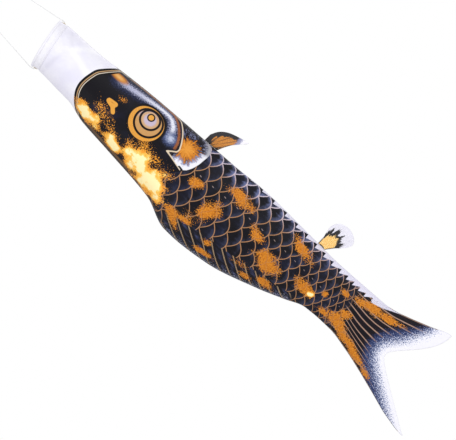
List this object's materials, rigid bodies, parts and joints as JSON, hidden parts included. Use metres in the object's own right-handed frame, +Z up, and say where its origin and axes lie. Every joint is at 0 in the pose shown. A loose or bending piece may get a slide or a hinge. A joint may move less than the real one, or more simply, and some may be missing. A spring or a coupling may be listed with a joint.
{
  "type": "carp streamer",
  "caption": "Carp-shaped wind streamer: printed cloth tube with forked tail and paired fins, on a hooped mouth, two-leg bridle and swivel snap hook.",
  "frame": {"origin": "bearing point inside the top of the snap hook, where it hangs on a pole's ring or cord", "axes": "+Z up; the streamer hangs down -Z from its mouth to its tail, its belly towards +X, its back towards -X and its right side towards -Y"},
  "size_m": [0.3484, 0.155, 2.182],
  "materials": {
    "metal": "nickel-plated, bright",
    "brass": "brass eyelet, lightly tarnished",
    "cord": "white braided polyester cord",
    "hoop": "white nylon rod",
    "white_cloth": "unprinted white polyester taffeta",
    "printed_cloth": "polyester taffeta printed black and orange with gold foil",
    "seam_tape": "dark polyester seam tape"
  },
  "bodies": {
    "hook": {"snap_hook": "metal", "gate_pin": "metal", "gate_spring": "metal"},
    "gate": {"snap_gate": "metal"},
    "swivel": {"swivel_eye": "metal"},
    "bridle": {"bridle_ring": "metal", "ring_hitch": "cord", "bridle_line_back": "cord", "bridle_line_belly": "cord", "stopper_knot_back": "cord", "stopper_knot_belly": "cord"},
    "front": {"mouth_hoop": "hoop", "hoop_ferrule": "metal", "mouth_hem": "white_cloth", "eyelet_back": "brass", "eyelet_belly": "brass", "right_panel_front": "printed_cloth", "left_panel_front": "printed_cloth", "right_panel_body_fold": "printed_cloth", "left_panel_body_fold": "printed_cloth", "back_seam_front": "seam_tape", "belly_seam_front": "seam_tape"},
    "middle": {"right_panel_middle": "printed_cloth", "left_panel_middle": "printed_cloth", "right_panel_tail_fold": "printed_cloth", "left_panel_tail_fold": "printed_cloth", "back_seam_middle": "seam_tape", "belly_seam_middle": "seam_tape"},
    "tail": {"right_panel_tail": "printed_cloth", "left_panel_tail": "printed_cloth", "back_seam_tail": "seam_tape", "belly_seam_tail": "seam_tape"},
    "pectoral_right": {"pectoral_fin_right": "printed_cloth"},
    "pectoral_left": {"pectoral_fin_left": "printed_cloth"},
    "pelvic_right": {"pelvic_fin_right": "printed_cloth"},
    "pelvic_left": {"pelvic_fin_left": "printed_cloth"}
  },
  "joints": [
    {"name": "gate_open", "type": "hinge", "parent": "hook", "child": "gate", "pos_m": [0.0095, 0, -0.034], "axis": [0, -1, 0], "range_deg": [0, 28], "stiffness_Nm_per_rad": 0.02, "springref_deg": -34.38},
    {"name": "swivel_spin", "type": "hinge", "parent": "hook", "child": "swivel", "pos_m": [0, 0, -0.046], "axis": [0, 0, 1], "continuous": true},
    {"name": "bridle_swing", "type": "hinge", "parent": "swivel", "child": "bridle", "pos_m": [0, 0, -0.0606], "axis": [0, 1, 0], "range_deg": [-80, 80]},
    {"name": "mouth_nod", "type": "hinge", "parent": "bridle", "child": "front", "pos_m": [0.00153, 0, -0.68794], "axis": [0.9903, 0, 0.1392], "range_deg": [-35, 35]},
    {"name": "body_bend", "type": "hinge", "parent": "front", "child": "middle", "pos_m": [0, 0, -1.28705], "axis": [1, 0, 0], "range_deg": [-22, 22], "deforming": ["right_panel_body_fold", "left_panel_body_fold"]},
    {"name": "tail_bend", "type": "hinge", "parent": "middle", "child": "tail", "pos_m": [0, 0, -1.74905], "axis": [1, 0, 0], "range_deg": [-30, 30], "deforming": ["right_panel_tail_fold", "left_panel_tail_fold"]},
    {"name": "pectoral_flap_right", "type": "hinge", "parent": "front", "child": "pectoral_right", "pos_m": [0.08898, -0.00095, -1.22104], "axis": [0.0034, 0, -1], "range_deg": [-10, 65], "stiffness_Nm_per_rad": 0.002},
    {"name": "pectoral_flap_left", "type": "hinge", "parent": "front", "child": "pectoral_left", "pos_m": [0.08898, 0.00095, -1.22104], "axis": [-0.0034, 0, 1], "range_deg": [-10, 65], "stiffness_Nm_per_rad": 0.002},
    {"name": "pelvic_flap_right", "type": "hinge", "parent": "middle", "child": "pelvic_right", "pos_m": [0.07819, -0.00095, -1.64862], "axis": [-0.0775, 0, -0.997], "range_deg": [-10, 65], "stiffness_Nm_per_rad": 0.002},
    {"name": "pelvic_flap_left", "type": "hinge", "parent": "middle", "child": "pelvic_left", "pos_m": [0.07819, 0.00095, -1.64862], "axis": [0.0775, 0, 0.997], "range_deg": [-10, 65], "stiffness_Nm_per_rad": 0.002}
  ]
}
